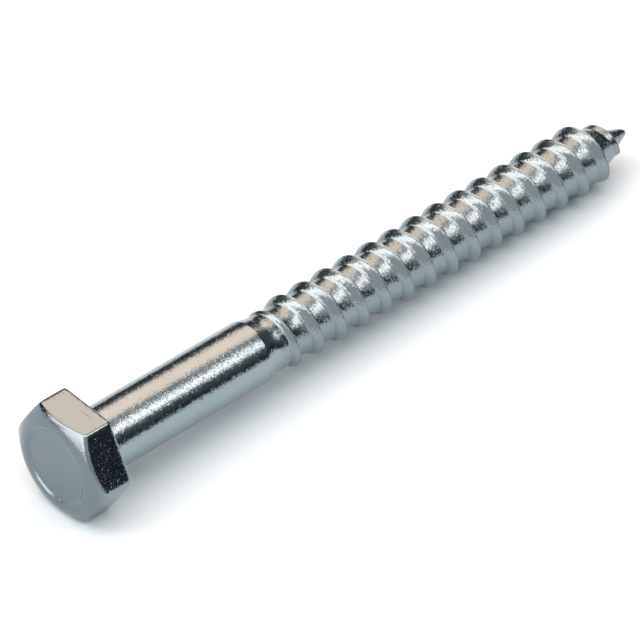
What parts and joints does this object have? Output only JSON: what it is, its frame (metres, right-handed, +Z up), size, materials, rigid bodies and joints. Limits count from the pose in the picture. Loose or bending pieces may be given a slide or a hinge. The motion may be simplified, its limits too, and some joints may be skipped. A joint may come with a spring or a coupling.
{
  "type": "hex head wood screw",
  "caption": "Hexagon head wood screw with a plain shank, a coarse right-hand thread and a gimlet point, in bright zinc plated steel.",
  "frame": {"origin": "middle of the underside of the bounding box, on the table that the screw lies on", "axes": "+X along the screw's length towards the point, which dips about 1.9 degrees, +Z up"},
  "size_m": [0.1274, 0.0218, 0.0192],
  "materials": {
    "zinc_plated_steel": "bright zinc plating, glossy with a fine grain"
  },
  "bodies": {
    "root": {"hex_wood_screw": "zinc_plated_steel"}
  },
  "joints": []
}
